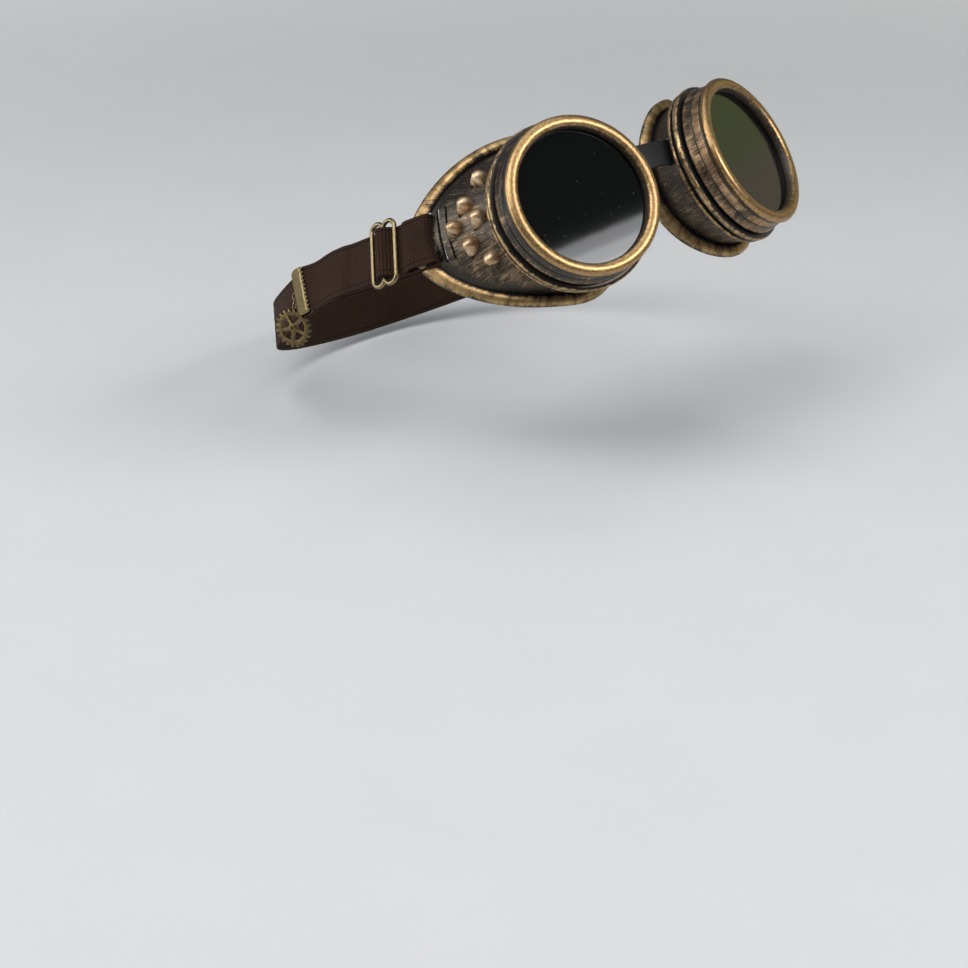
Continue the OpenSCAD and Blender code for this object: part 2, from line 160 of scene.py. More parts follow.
def brushed(name, paint, metal, metal2, bias, stroke=0.42, length=5.0, patch=0.55, patch_size=7.0,
            rough_paint=0.3, rough_metal=0.33, gain=0.85, spec=0.5, bump=0.35, seed=0.0, metallic=0.92, hairs=0.62, dabs=0.95, soft=0.34):
    """Near-black glossy lacquer with metallic paint dragged across it from front to back."""
    g = Graph(name)
    o = g.object_mm()
    x, y, w = g.sep(o)
    r = g.math("SQRT", g.math("ADD", g.math("MULTIPLY", x, x), g.math("MULTIPLY", y, y)))
    wob = g.noise(o, 0.16, 2.0)
    cx = g.math("DIVIDE", x, r)
    cy = g.math("DIVIDE", y, r)
    k = 31.0 / stroke
    wl = g.math("DIVIDE", w, length)
    rl = g.math("DIVIDE", r, length)
    sx = g.math("ADD", g.math("MULTIPLY", cx, k), g.math("MULTIPLY", wob, 5.0))
    sy = g.math("ADD", g.math("MULTIPLY", cy, k), seed)
    fine = g.noise(g.xyz(sx, sy, g.math("ADD", wl, rl)), 1.0, 3.0, 0.6)
    broad = g.noise(g.xyz(g.math("DIVIDE", sx, 8.0), g.math("DIVIDE", sy, 8.0), g.math("MULTIPLY", wl, 1.1)), 1.0, 3.0, 0.6)
    big = g.noise(o, 1.0 / patch_size, 2.0, 0.5, 0.4)
    # per-vertex bias of the metal paint: wear, and on the studs also painted shade
    wear_and_shade = g.attr("wear_and_shade")
    grains = g.noise(o, 3.2, 3.0, 0.65)
    s = g.math("ADD", g.math("MULTIPLY", fine, hairs), g.math("MULTIPLY", broad, dabs))
    s = g.math("ADD", s, g.math("MULTIPLY", g.math("SUBTRACT", grains, 0.77), 0.3))
    s = g.math("ADD", s, g.math("MULTIPLY", big, patch))
    s = g.math("ADD", s, wear_and_shade)
    s = g.math("SUBTRACT", s, bias)
    mask = g.math("MULTIPLY", g.step(s, 0.0, soft), gain, clamp=True)
    col = g.mix(g.step(g.math("ADD", broad, g.math("MULTIPLY", grains, 0.35)), 0.45, 0.85), metal, metal2)
    dark = g.mix(g.step(grains, 0.35, 0.7), paint, tuple(c * 1.7 + 0.002 for c in paint))
    g.put(g.bsdf.inputs["Base Color"], g.mix(mask, dark, col))
    g.put(g.bsdf.inputs["Metallic"], g.math("MULTIPLY", mask, metallic))
    rough = g.lerp(mask, rough_paint, rough_metal)
    g.put(g.bsdf.inputs["Roughness"], g.math("ADD", rough, g.math("MULTIPLY", g.math("SUBTRACT", grains, 0.5), 0.28)))
    g.bsdf.inputs["Specular IOR Level"].default_value = spec
    g.bsdf.inputs["Specular Tint"].default_value = (1.0, 0.85, 0.66, 1)
    height = g.math("ADD", g.math("MULTIPLY", mask, 0.55), g.math("ADD", g.math("MULTIPLY", fine, 0.8), g.math("MULTIPLY", grains, 0.5)))
    g.bump(height, bump, 0.00012)
    return g.mat


def bead_metal():
    """The ring's rolled bead: antique gold, rubbed bright along its crown, with dark flecks left at both edges."""
    g = Graph("bead_gold")
    o = g.object_mm()
    x, y, w = g.sep(o)
    r = g.math("SQRT", g.math("ADD", g.math("MULTIPLY", x, x), g.math("MULTIPLY", y, y)))
    cx, cy = g.math("DIVIDE", x, r), g.math("DIVIDE", y, r)
    fleck = g.noise(g.xyz(g.math("MULTIPLY", cx, 62), g.math("MULTIPLY", cy, 62), g.math("MULTIPLY", g.math("ADD", r, w), 0.55)), 1.0, 4.0, 0.68)
    streak = g.noise(g.xyz(g.math("MULTIPLY", cx, 24), g.math("MULTIPLY", cy, 24), g.math("MULTIPLY", g.math("SUBTRACT", r, w), 1.5)), 1.0, 3.0, 0.6)
    grains = g.noise(o, 3.6, 4.0, 0.7)
    big = g.noise(o, 0.09, 2.0)
    wear_and_shade = g.attr("wear_and_shade")
    s = g.math("ADD", g.math("ADD", g.math("MULTIPLY", fleck, 1.0), g.math("MULTIPLY", big, 0.25)), wear_and_shade)
    s = g.math("ADD", s, g.math("MULTIPLY", grains, 0.3))
    mask = g.step(s, 1.08, 1.34)
    gold = g.mix(g.step(streak, 0.30, 0.66), (0.30, 0.165, 0.055), (0.53, 0.345, 0.165))
    gold = g.mix(g.math("MULTIPLY", g.step(grains, 0.54, 0.74), 0.18), gold, (0.17, 0.09, 0.03))
    g.put(g.bsdf.inputs["Base Color"], g.mix(mask, (0.022, 0.014, 0.007), gold))
    g.put(g.bsdf.inputs["Metallic"], g.math("MULTIPLY", mask, 0.93))
    g.put(g.bsdf.inputs["Roughness"], g.math("ADD", g.lerp(mask, 0.46, 0.36), g.math("MULTIPLY", g.math("SUBTRACT", streak, 0.5), 0.22)))
    g.bump(g.math("ADD", g.math("MULTIPLY", fleck, 0.7), g.math("MULTIPLY", grains, 0.2)), 0.14, 0.00008)
    return g.mat


def cast_brass(name, light, dark, stain, rough=0.34, bump=0.25, scale=1.0, hatch=0.0):
    """Antique brass hardware: brown stain in the low spots, rubbed lighter on the faces, small pits."""
    g = Graph(name)
    o = g.object_mm()
    n1 = g.noise(o, 0.75 * scale, 4.0, 0.6)
    n2 = g.noise(o, 3.4 * scale, 3.0, 0.6)
    v = g.node("ShaderNodeTexVoronoi", feature="F1")
    g.put(v.inputs["Vector"], o)
    v.inputs["Scale"].default_value = 1.6 * scale
    edge = g.attr("wear_and_shade")
    lum = g.math("ADD", g.math("MULTIPLY", n1, 0.9), g.math("ADD", g.math("MULTIPLY", n2, 0.35), g.math("MULTIPLY", edge, 0.35)))
    c = g.mix(g.step(lum, 0.45, 0.85), dark, light)
    pits = g.step(v.outputs["Distance"], 0.05, 0.22)
    c = g.mix(g.math("MULTIPLY", g.math("SUBTRACT", 1.0, pits), 0.7), c, stain)
    g.put(g.bsdf.inputs["Base Color"], c)
    g.bsdf.inputs["Metallic"].default_value = 0.9
    g.put(g.bsdf.inputs["Roughness"], g.math("ADD", rough, g.math("MULTIPLY", g.math("SUBTRACT", n2, 0.5), 0.35)))
    height = g.math("ADD", n2, g.math("MULTIPLY", pits, 0.4))
    if hatch:
        # pressed crosshatch on the crimp's face, in its own plane (y along the strap, z across)
        _, y, z = g.sep(o)
        a = g.math("SINE", g.math("MULTIPLY", g.math("ADD", y, z), 2 * math.pi / hatch))
        b = g.math("SINE", g.math("MULTIPLY", g.math("SUBTRACT", y, z), 2 * math.pi / hatch))
        height = g.math("ADD", height, g.math("MULTIPLY", g.math("MULTIPLY", a, b), 0.9))
    g.bump(height, bump, 0.00008)
    return g.mat


def dark_glass(name, rough):
    g = Graph(name)
    o = g.object_mm()
    haze = g.noise(o, 0.05, 2.0)
    dust = g.node("ShaderNodeTexVoronoi", feature="F1")
    g.put(dust.inputs["Vector"], o)
    dust.inputs["Scale"].default_value = 0.34
    speck = g.math("SUBTRACT", 1.0, g.step(dust.outputs["Distance"], 0.02, 0.07))
    c = g.mix(haze, (0.0008, 0.0012, 0.0008), (0.0018, 0.0022, 0.0014))
    g.put(g.bsdf.inputs["Base Color"], g.mix(g.math("MULTIPLY", speck, 0.12), c, (0.25, 0.25, 0.24)))
    g.put(g.bsdf.inputs["Roughness"], g.math("ADD", rough, g.math("MULTIPLY", speck, 0.3)))
    g.bsdf.inputs["IOR"].default_value = 1.52
    g.bump(g.noise(o, 0.12, 1.0), 0.02, 0.0001)
    return g.mat


def clear_glass():
    g = Graph("clear_glass")
    o = g.object_mm()
    g.bsdf.inputs["Transmission Weight"].default_value = 0.95
    g.put(g.bsdf.inputs["Base Color"], g.mix(g.noise(o, 0.1, 2.0), (0.86, 0.90, 0.90), (0.92, 0.95, 0.95)))
    g.put(g.bsdf.inputs["Roughness"], g.math("ADD", 0.02, g.math("MULTIPLY", g.noise(o, 0.4, 3.0), 0.04)))
    g.bsdf.inputs["IOR"].default_value = 1.49
    return g.mat


def rubber(name, base, rough):
    g = Graph(name)
    o = g.object_mm()
    n = g.noise(o, 0.5, 4.0, 0.6)
    f = g.noise(o, 7.0, 2.0, 0.6)
    g.put(g.bsdf.inputs["Base Color"], g.mix(n, base, tuple(c * 2.0 + 0.002 for c in base)))
    g.put(g.bsdf.inputs["Roughness"], g.math("ADD", rough, g.math("MULTIPLY", g.math("SUBTRACT", n, 0.5), 0.3)))
    g.bump(g.math("ADD", f, g.math("MULTIPLY", n, 0.6)), 0.25, 0.00006)
    return g.mat


def elastic(name="strap_elastic"):
    """Flat woven elastic. UV holds millimetres: u along the strap from the slot, v across it."""
    g = Graph(name)
    uv = g.node("ShaderNodeUVMap", uv_map="mm")
    s = g.node("ShaderNodeVectorMath", operation="SCALE")
    g.nt.links.new(uv.outputs[0], s.inputs[0])
    s.inputs["Scale"].default_value = 100
    u, v, _ = g.sep(s.outputs[0])
    wob = g.noise(g.xyz(u, v, 0.0), 0.35, 2.0)
    jit = g.math("MULTIPLY", g.math("SUBTRACT", wob, 0.5), 0.9)
    # lengthwise warp cords, 0.95 mm apart, and crosswise filling ribs, 0.8 mm apart
    warp = g.math("SINE", g.math("MULTIPLY", g.math("ADD", v, g.math("MULTIPLY", jit, 0.35)), 2 * math.pi / 0.95))
    rib = g.math("SINE", g.math("MULTIPLY", g.math("ADD", u, jit), 2 * math.pi / 0.8))
    zig = g.math("SINE", g.math("ADD", g.math("MULTIPLY", u, 2 * math.pi / 0.8), g.math("MULTIPLY", g.math("SIGN", warp), math.pi / 2)))
    near = g.math("SUBTRACT", 1.0, g.step(g.math("ABSOLUTE", u), 20.0, 44.0))
    ribs = g.lerp(near, g.math("MULTIPLY", rib, 0.32), g.math("ADD", g.math("MULTIPLY", rib, 0.8), g.math("MULTIPLY", zig, 0.3)))
    cords = g.lerp(near, g.math("MULTIPLY", warp, 0.46), g.math("MULTIPLY", warp, 0.30))
    av = g.math("ABSOLUTE", v)
    selv = g.step(av, 7.55, 7.9)                                  # smooth woven edge
    line = g.math("MULTIPLY", g.step(av, 7.3, 7.55), g.math("SUBTRACT", 1.0, g.step(av, 7.7, 7.95)))
    weave = g.math("ADD", ribs, cords)
    weave = g.lerp(selv, weave, g.math("MULTIPLY", rib, 0.35))
    fuzz = g.noise(g.xyz(g.math("MULTIPLY", u, 1.0), g.math("MULTIPLY", v, 3.0), 0.0), 2.2, 4.0, 0.7)
    fade = g.noise(g.xyz(u, v, 3.0), 0.06, 3.0)
    tone = g.math("ADD", g.math("MULTIPLY", weave, 0.34), g.math("ADD", g.math("MULTIPLY", fuzz, 0.65), g.math("MULTIPLY", fade, 0.45)))
    c = g.mix(g.step(tone, 0.12, 0.95, smooth=False), (0.0075, 0.0034, 0.0019), (0.048, 0.0222, 0.0125))
    c = g.mix(g.math("MULTIPLY", line, 0.75), c, (0.007, 0.0036, 0.0025))
    g.put(g.bsdf.inputs["Base Color"], c)
    g.put(g.bsdf.inputs["Roughness"], g.math("ADD", 0.72, g.math("MULTIPLY", fuzz, 0.2)))
    g.bsdf.inputs["Specular IOR Level"].default_value = 0.14
    g.bsdf.inputs["Sheen Weight"].default_value = 0.07
    g.bsdf.inputs["Sheen Roughness"].default_value = 0.45
    g.bsdf.inputs["Sheen Tint"].default_value = (0.75, 0.48, 0.34, 1)
    h = g.math("ADD", weave, g.math("MULTIPLY", fuzz, 0.8))
    h = g.math("SUBTRACT", h, g.math("MULTIPLY", line, 1.6))
    g.bump(h, 1.0, 0.00020)
    return g.mat


BLACK = (0.0085, 0.0075, 0.0075)
COPPER = (0.30, 0.165, 0.072)
COPPER2 = (0.60, 0.40, 0.235)
M_BEAD = bead_metal()
M_SKIRT = brushed("ring_skirt", BLACK, COPPER, COPPER2, 1.44, stroke=0.25, length=4.5, patch=1.1, patch_size=10.0, rough_metal=0.3, hairs=1.15, dabs=0.35, soft=0.45)
M_RIDGE = brushed("cup_ridges", BLACK, (0.34, 0.205, 0.085), (0.62, 0.42, 0.21), 1.24, stroke=0.3, length=2.2, patch=0.45, patch_size=8.0, rough_metal=0.27)
M_WALL = brushed("cup_wall", (0.0105, 0.0088, 0.0078), (0.20, 0.122, 0.06), (0.44, 0.305, 0.18), 1.08, stroke=0.26, length=7.0, patch=0.45, patch_size=7.0, hairs=1.15, dabs=0.3, rough_paint=0.27, rough_metal=0.38, gain=0.8, spec=0.4, seed=11.0, soft=0.42)
M_RIM = brushed("cup_rim", BLACK, (0.26, 0.155, 0.062), (0.50, 0.335, 0.155), 1.36, stroke=0.3, length=2.6, patch=0.45, patch_size=7.0, rough_metal=0.36, hairs=0.9, dabs=0.7, gain=0.92, bump=0.35, seed=3.0)
M_STUD = brushed("studs", BLACK, (0.46, 0.28, 0.13), (0.76, 0.56, 0.37), 1.02, stroke=0.5, length=3.0, patch=0.2, rough_metal=0.40, gain=0.95, seed=5.0)
M_INSIDE = rubber("cup_inside", (0.0085, 0.0085, 0.009), 0.42)
M_GLASS = {-1: dark_glass("dark_glass_right", 0.035), 1: dark_glass("dark_glass_left", 0.12)}
M_CLEAR = clear_glass()
M_GASKET = rubber("gasket_rubber", (0.012, 0.012, 0.013), 0.6)
M_BRIDGE = rubber("bridge_rubber", (0.0042, 0.0042, 0.0046), 0.5)
M_STRAP = elastic()
M_WIRE = cast_brass("slider_brass", (0.245, 0.187, 0.096), (0.10, 0.075, 0.036), (0.03, 0.023, 0.011), rough=0.3, scale=1.3)
M_CRIMP = cast_brass("crimp_brass", (0.215, 0.16, 0.075), (0.115, 0.083, 0.037), (0.04, 0.03, 0.014), rough=0.4, bump=0.5, scale=1.6, hatch=0.5)
M_GEAR = cast_brass("gear_brass", (0.17, 0.117, 0.05), (0.06, 0.04, 0.018), (0.02, 0.014, 0.007), rough=0.36, bump=0.35, scale=1.8)

# ------------------------------------------------------------------ mesh helpers
YAW, ROLL, C0 = 14.7, 12.9, 46.35
cos = lambda a: math.cos(math.radians(a))
sin = lambda a: math.sin(math.radians(a))


def lens_matrix(side):
    """Lens frame of one cup. side 1 is the left cup, -1 the right, whose x axis points to the nose."""
    ex = Vector((cos(YAW), side * sin(YAW), 0))
    ew = Vector((side * sin(YAW), -cos(YAW), 0))
    return Matrix(((ex[0], 0, ew[0], side * C0 * MM), (ex[1], 0, ew[1], 0), (ex[2], 1, ew[2], 0), (0, 0, 0, 1)))


def sharp(mesh, angle=35):
    for p in mesh.polygons:
        p.use_smooth = True
    mesh.set_sharp_from_angle(angle=math.radians(angle))


def make(name, verts, faces, mats, mat_index=None, wear_and_shade=None, uv=None, side=1, matrix=None, angle=35):
    """verts in mm, as the left side has them. side -1 makes the mirror image."""
    v = np.array(verts, float) * MM
    if side < 0:
        v = v * np.array([-1, 1, 1])
        faces = [tuple(reversed(f)) for f in faces]
    me = bpy.data.meshes.new(name)
    me.from_pydata([tuple(p) for p in v], [], [tuple(f) for f in faces])
    for m in mats:
        me.materials.append(m)
    if mat_index is not None:
        me.polygons.foreach_set("material_index", np.array(mat_index, np.int32))
    if wear_and_shade is not None:
        a = me.attributes.new("wear_and_shade", "FLOAT", "POINT")
        a.data.foreach_set("value", np.array(wear_and_shade, np.float32))
    if uv is not None:
        layer = me.uv_layers.new(name="mm")
        loops = np.zeros(len(me.loops), np.int32)
        me.loops.foreach_get("vertex_index", loops)
        layer.data.foreach_set("uv", (np.array(uv, np.float32)[loops] * 0.01).ravel())
    me.validate()
    me.update()
    sharp(me, angle)
    o = bpy.data.objects.new(name, me)
    scene.collection.objects.link(o)
    if matrix is not None:
        o.matrix_world = matrix
    return o


def soften(pts, rad, k=3):
    """Rounds the corners of a closed profile of (r, w, wear_and_shade, material) points."""
    out, n = [], len(pts)
    for i in range(n):
        a0, p, b0 = (np.array(pts[j % n][:2], float) for j in (i - 1, i, i + 1))
        a, b = a0 - p, b0 - p
        la, lb = np.linalg.norm(a), np.linalg.norm(b)
        turn = math.degrees(math.acos(max(-1, min(1, -float(a @ b) / (la * lb)))))
        if turn < 14:
            out.append(tuple(pts[i]))
            continue
        d = min(rad, 0.42 * la, 0.42 * lb)
        s, e = p + a / la * d, p + b / lb * d
        for j in range(k + 1):
            t = j / k
            q = (1 - t) ** 2 * s + 2 * t * (1 - t) * p + t * t * e
            out.append((q[0], q[1], *pts[i][2:]))
    return out


def lathe(pts, n=240):
    """Revolves a closed profile. Returns verts, faces, wear_and_shade, material index of each face."""
    k = len(pts)
    verts, faces, wear_and_shade, mats = [], [], [], []
    for i in range(n):
        a = 2 * math.pi * i / n
        c, s = math.cos(a), math.sin(a)
        for p in pts:
            verts.append((p[0] * c, p[0] * s, p[1]))
            wear_and_shade.append(p[2])
    for i in range(n):
        for j in range(k):
            a, b = i * k + j, i * k + (j + 1) % k
            c, d = ((i + 1) % n) * k + (j + 1) % k, ((i + 1) % n) * k + j
            faces.append((a, d, c, b))
            mats.append(pts[j][3])
    return verts, faces, wear_and_shade, mats


def signed_volume(verts, faces):
    v = np.array(verts, float)
    t = 0.0
    for f in faces:
        for i in range(1, len(f) - 1):
            t += float(np.dot(v[f[0]], np.cross(v[f[i]], v[f[i + 1]])))
    return t


def outward(verts, faces):
    return faces if signed_volume(verts, faces) > 0 else [tuple(reversed(f)) for f in faces]


def join(parts):
    """Joins (verts, faces, wear_and_shade, mats) tuples."""
    V, F, W, M = [], [], [], []
    for v, f, w, m in parts:
        b = len(V)
        V += [tuple(p) for p in v]
        F += [tuple(i + b for i in q) for q in f]
        W += list(w)
        M += list(m)
    return V, F, W, M


# ------------------------------------------------------------------ lens rings
W_LIP, W_NECK, W_WALL = -1.9, -5.7, -16.2


def ring_profile():
    bead = []
    for a in range(150, -19, -4):
        u = (a - 66) / 84.0
        bead.append((27.62 + 2.38 * cos(a), -0.2 + 1.75 * sin(a), 0.86 - 0.52 * abs(u) ** 2.6, 0))
    inner = soften([(25.1, W_LIP, 0.35, 0), (25.1, -0.8, 0.35, 0)], 0.05)
    tail = [(29.2, -1.7, 0.2, 1), (29.05, -2.2, -0.35, 1), (29.3, -2.6, 0.25, 1), (29.45, -3.9, 0.42, 1), (29.68, -5.15, 0.38, 1),
            (29.4, -5.4, -0.9, 1), (29.4, -5.52, -0.9, 1), (29.75, -5.75, 0.34, 1), (29.95, -6.9, 0.42, 1), (30.28, -8.5, 0.55, 1), (30.15, -9.2, 0.2, 1),
            (27.6, -9.2, -0.6, 1), (27.6, W_NECK + 0.4, -0.6, 1), (26.8, W_NECK + 0.4, -0.6, 1), (26.8, W_LIP, -0.6, 1)]
    return inner[:0] + [(25.1, W_LIP, 0.1, 0), (25.1, -0.85, 0.25, 0)] + bead + soften([bead[-1]] + tail, 0.14)[4:]


def build_ring(side, tag):
    v, f, w, m = lathe(ring_profile(), 288)
    f = outward(v, f)
    if side < 0:                                                  # the right skirt carries less of the metal paint
        w = [a - 0.2 if p[2] < -2.0 and math.hypot(p[0], p[1]) > 29 else a for a, p in zip(w, v)]
    else:                                                         # the left one has the most metal paint just behind its bead
        w = [a + float(np.interp(p[2], [-8.5, -6.0, -5.3, -3.0, -1.9], [-0.1, -0.06, 0.05, 0.24, 0.45])) if math.hypot(p[0], p[1]) > 29 and p[2] < -1.75 and a > -0.6 else a
             for a, p in zip(w, v)]
    o = make(tag + "_ring_metal", v, f, [M_BEAD, M_SKIRT], m, w, side=side, matrix=lens_matrix(side), angle=40)
    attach(o, tag + "_ring")
    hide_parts(tag + "_lens_ring")
    return o


# ------------------------------------------------------------------ cups
def flange_d(x):
    return 24.3 + 0.01 * x * x


def flange_p(t):
    c, s = cos(t), sin(t)
    if c >= 0:
        return 49.2 * c ** 0.83, math.copysign(32.9 * abs(s) ** 1.25, s)
    return 29 * c, 32.9 * s


def shell_points(t):
    """(radius, w, wear_and_shade, material) round one section of the shell, the rim as a smooth roll."""
    px, py = flange_p(t)
    ro = math.hypot(px, py)
    cx = px / ro
    r1 = ro - 4.6
    d = lambda r: flange_d(r * cx)
    w1 = -d(r1) + 0.3
    wall = 29.4
    pts = [(wall - 0.1, -14.6, 0.1, 0), (wall, W_WALL, 0.12, 0)]
    for i in range(1, 9):
        k = i / 9
        pts.append((wall + (r1 - wall) * k, W_WALL + (w1 - W_WALL) * k, 0.30 - 0.1 * abs(k - 0.5) - (0.25 if i == 8 else 0), 0))
    pts.append((r1 - 0.05, w1 + 0.05, -0.5, 0))
    roll = [(r1, w1), (r1 + 0.8, -d(r1) + 1.1 - (d(r1 + 0.8) - d(r1))), (ro - 2.3, -d(ro - 2.3) + 1.4),
            (ro - 0.9, -d(ro - 0.9) + 0.9), (ro, -d(ro) - 0.1), (ro - 0.6, -d(ro) - 1.2), (r1 + 0.6, -d(r1) - 1.5)]
    glow = [-0.45, 0.34, 0.66, 0.74, 0.6, 0.25, -0.2]
    for i in range(len(roll) - 1):
        p0 = np.array(roll[max(i - 1, 0)])
        p1, p2 = np.array(roll[i]), np.array(roll[i + 1])
        p3 = np.array(roll[min(i + 2, len(roll) - 1)])
        n = 4
        for j in range(n):
            u = j / n
            m1, m2 = (p2 - p0) / 2, (p3 - p1) / 2
            q = (2 * u ** 3 - 3 * u * u + 1) * p1 + (u ** 3 - 2 * u * u + u) * m1 + (3 * u * u - 2 * u ** 3) * p2 + (u ** 3 - u * u) * m2
            pts.append((q[0], q[1], glow[i] + (glow[i + 1] - glow[i]) * u, 0))
    pts.append((roll[-1][0], roll[-1][1], -0.2, 0))
    for k in (2 / 3, 1 / 3):
        pts.append((wall - 2.3 + (r1 - wall) * k, W_WALL + (w1 - W_WALL) * k - (0.6 if k > 0.5 else 0.3), -0.15, 0))
    pts.append((wall - 2.5, -14.6, -0.3, 0))
    return px / ro, py / ro, pts


def shell_mesh(n=288):
    verts, faces, wear_and_shade, mats = [], [], [], []
    k = None
    for i in range(n):
        cx, cy, pts = shell_points(360.0 * i / n)
        k = len(pts)
        for p in pts:
            verts.append((p[0] * cx, p[0] * cy, p[1]))
            wear_and_shade.append(p[2])
    for i in range(n):
        for j in range(k):
            a, b = i * k + j, i * k + (j + 1) % k
            c, d = ((i + 1) % n) * k + (j + 1) % k, ((i + 1) % n) * k + j
            faces.append((a, d, c, b))
            mats.append(1 if j >= k - 4 else 0)
    return verts, outward(verts, faces), wear_and_shade, mats


def rot_z(a):
    return np.array([[cos(a), -sin(a), 0], [sin(a), cos(a), 0], [0, 0, 1]])


def rot_y(a):
    return np.array([[cos(a), 0, sin(a)], [0, 1, 0], [-sin(a), 0, cos(a)]])


def box_mesh(centre, size, rot, at=(0, 0, 0)):
    """A block of that size about centre, in a frame turned by rot and moved to at, with a small chamfer on its long edges."""
    cx, cy, cz = centre
    sx, sy, sz = (v / 2 for v in size)
    c = 0.22
    ring = [(-sz, -sy + c), (-sz + c, -sy), (sz - c, -sy), (sz, -sy + c), (sz, sy - c), (sz - c, sy), (-sz + c, sy), (-sz, sy - c)]
    pts = [(x, y, z) for x in (-sx, sx) for z, y in ring]
    pts = np.array([(cx + p[0], cy + p[1], cz + p[2]) for p in pts]) @ rot.T + np.array(at)
    faces = [tuple(range(8)), tuple(range(15, 7, -1))] + [(i, i + 8, (i + 1) % 8 + 8, (i + 1) % 8) for i in range(8)]
    pts = [tuple(p) for p in pts]
    return pts, outward_local(pts, faces)


def outward_local(verts, faces):
    v = np.array(verts, float)
    v = v - v.mean(0)
    return faces if signed_volume(v, faces) > 0 else [tuple(reversed(f)) for f in faces]


def cutters():
    wa = math.degrees(math.atan2(15.1, 27.2))
    rz = rot_z(ROLL)
    out = []
    for x, w, size, dz in ((42.9, -40.3, (14, 19.8, 2.4), -0.2), (40.9, -36.6, (9, 20.6, 1.2), 0), (39.1, -33.2, (9, 20.2, 1.0), 0)):
        out.append(box_mesh((0, 0, dz), size, rz @ rot_y(-wa), rz @ np.array([x, 0.9, w])))
    seat = rz @ rot_y(-32)
    out.append(box_mesh((-2.65, 0, -8.9), (5.3, 20.8, 20.2), seat @ rot_z(6.5), rz @ np.array([43, 0.9, -40.3]) + seat @ np.array([-0.8, 0, 0])))
    out.append(box_mesh((-25, 9.9, -18.3), (15, 10.6, 2.5), np.eye(3)))
    return out


STUDS = [(28.6, 16.1, -20.5), (34.6, 8.0, -24.8), (33.0, 1.5, -20.0), (38.6, 1.1, -29.5), (35.6, -7.0, -25.4), (30.4, -14.0, -21.4)]


def stud_mesh(q):
    """A stud on the sloping wall: a dome drawn out to a low point on its under side, like a teardrop."""
    x, y, w = q
    th = math.atan2(y, x)
    tt, tr = rim_table()
    r1 = float(np.interp(math.degrees(th) % 360, tt, tr, period=360)) - 4.6
    g = unit(np.array([r1 - 29.4, -flange_d(r1 * math.cos(th)) + 0.3 - W_WALL]))
    cs, sn = math.cos(th), math.sin(th)
    gen = np.array([g[0] * cs, g[0] * sn, g[1]])
    n = np.array([-g[1] * cs, -g[1] * sn, g[0]])
    down = np.array([sn, -cs, 0.0])
    lift = (math.hypot(x, y) - 29.4) * -g[1] + (w - W_WALL) * g[0]
    c0 = np.array(q) - lift * n
    t = unit((0.55 + 0.02 * y) * gen + 0.85 * down)
    b = np.cross(n, t)
    high, rad, tip = 2.9 + lift, 2.95, 5.2
    open_a = math.acos(rad / tip)
    m, rows = 56, [0.0, 0.16, 0.32, 0.47, 0.6, 0.72, 0.82, 0.9, 0.96, 1.0]
    verts, faces, wear_and_shade = [tuple(c0 + high * n)], [], [0.66]
    for rho in rows[1:] + [1.02]:
        for i in range(m):
            phi = 2 * math.pi * i / m - math.pi
            out = rad / math.cos(open_a - abs(phi)) if abs(phi) < open_a else rad
            k = smooth((math.cos(phi) - math.cos(open_a)) / (1 - math.cos(open_a)))
            rr = min(rho, 1.0)
            h = high * ((1 - k) * math.sqrt(1 - rr * rr) + k * (1 - rr ** 1.7) ** 0.85)
            h = -1.3 if rho > 1 else h
            d = rr * out * math.cos(phi)
            verts.append(tuple(c0 + rr * out * (math.cos(phi) * t + math.sin(phi) * b) + h * n))
            # less metal paint towards the stud's lower tip: partly dark paint gathered there, partly painted shade of
            # its under side
            wear_and_shade.append(0.68 - 0.2 * smooth(d / 2.4) - 0.32 * smooth((d - 2.7) / 2.3))
    verts.append(tuple(c0 - 1.3 * n))
    wear_and_shade.append(-0.4)
    k = len(rows)
    for i in range(m):
        j = (i + 1) % m
        faces.append((0, 1 + i, 1 + j))
        for e in range(k - 1):
            faces.append((1 + e * m + i, 1 + (e + 1) * m + i, 1 + (e + 1) * m + j, 1 + e * m + j))
        faces.append((1 + (k - 1) * m + i, len(verts) - 1, 1 + (k - 1) * m + j))
    v = [tuple(p) for p in np.array(verts) @ rot_z(ROLL).T]
    return v, outward_local(v, faces), wear_and_shade, [2] * len(faces)


NECK = [(23.8, W_NECK, -0.6, 1), (26.3, W_NECK, -0.6, 1), (26.6, W_NECK - 0.3, -0.6, 1), (26.6, -9.9, -0.9, 1),
        (30.9, -10.3, -0.5, 1), (31.7, -10.6, 0.42, 1), (32, -11.2, 0.62, 1), (32, -12.0, 0.5, 1), (31.6, -12.7, 0.2, 1),
        (30.6, -13.0, -0.4, 1), (30.0, -13.2, -0.9, 1), (30.0, -13.7, -0.9, 1), (30.7, -13.9, 0.1, 1), (31.3, -14.3, 0.5, 1),
        (31.4, -14.9, 0.5, 1), (31.0, -15.6, 0.15, 1), (29.5, -16.0, -0.4, 1), (29.1, -16.5, -0.5, 1), (23.8, -16.5, -0.6, 1)]


def thread_mesh(hand):
    """Two turns of tapered thread round the neck."""
    turns, seg, pitch = 2, 72, 1.6
    n = turns * seg
    z0 = W_NECK - 0.9 - turns * pitch + 0.2
    verts, faces = [], []
    prof = [(26.2, -0.55), (27.3, -0.2), (27.3, 0.2), (26.2, 0.55)]
    for i in range(n + 1):
        a = hand * 2 * math.pi * i / seg
        e = min(1, min(i, n - i) / 14)
        for r, z in prof:
            rr = 26.2 + (r - 26.2) * (0.3 + 0.7 * e)
            verts.append((rr * math.cos(a), rr * math.sin(a), z0 + pitch * i / seg + z))
    for i in range(n):
        for j in range(4):
            a, b, c, d = i * 4 + j, i * 4 + (j + 1) % 4, (i + 1) * 4 + (j + 1) % 4, (i + 1) * 4 + j
            faces.append((a, d, c, b) if hand < 0 else (a, b, c, d))
    faces.append((0, 1, 2, 3))
    faces.append((n * 4 + 3, n * 4 + 2, n * 4 + 1, n * 4))
    return verts, faces, [-0.4] * len(verts), [1] * len(faces)


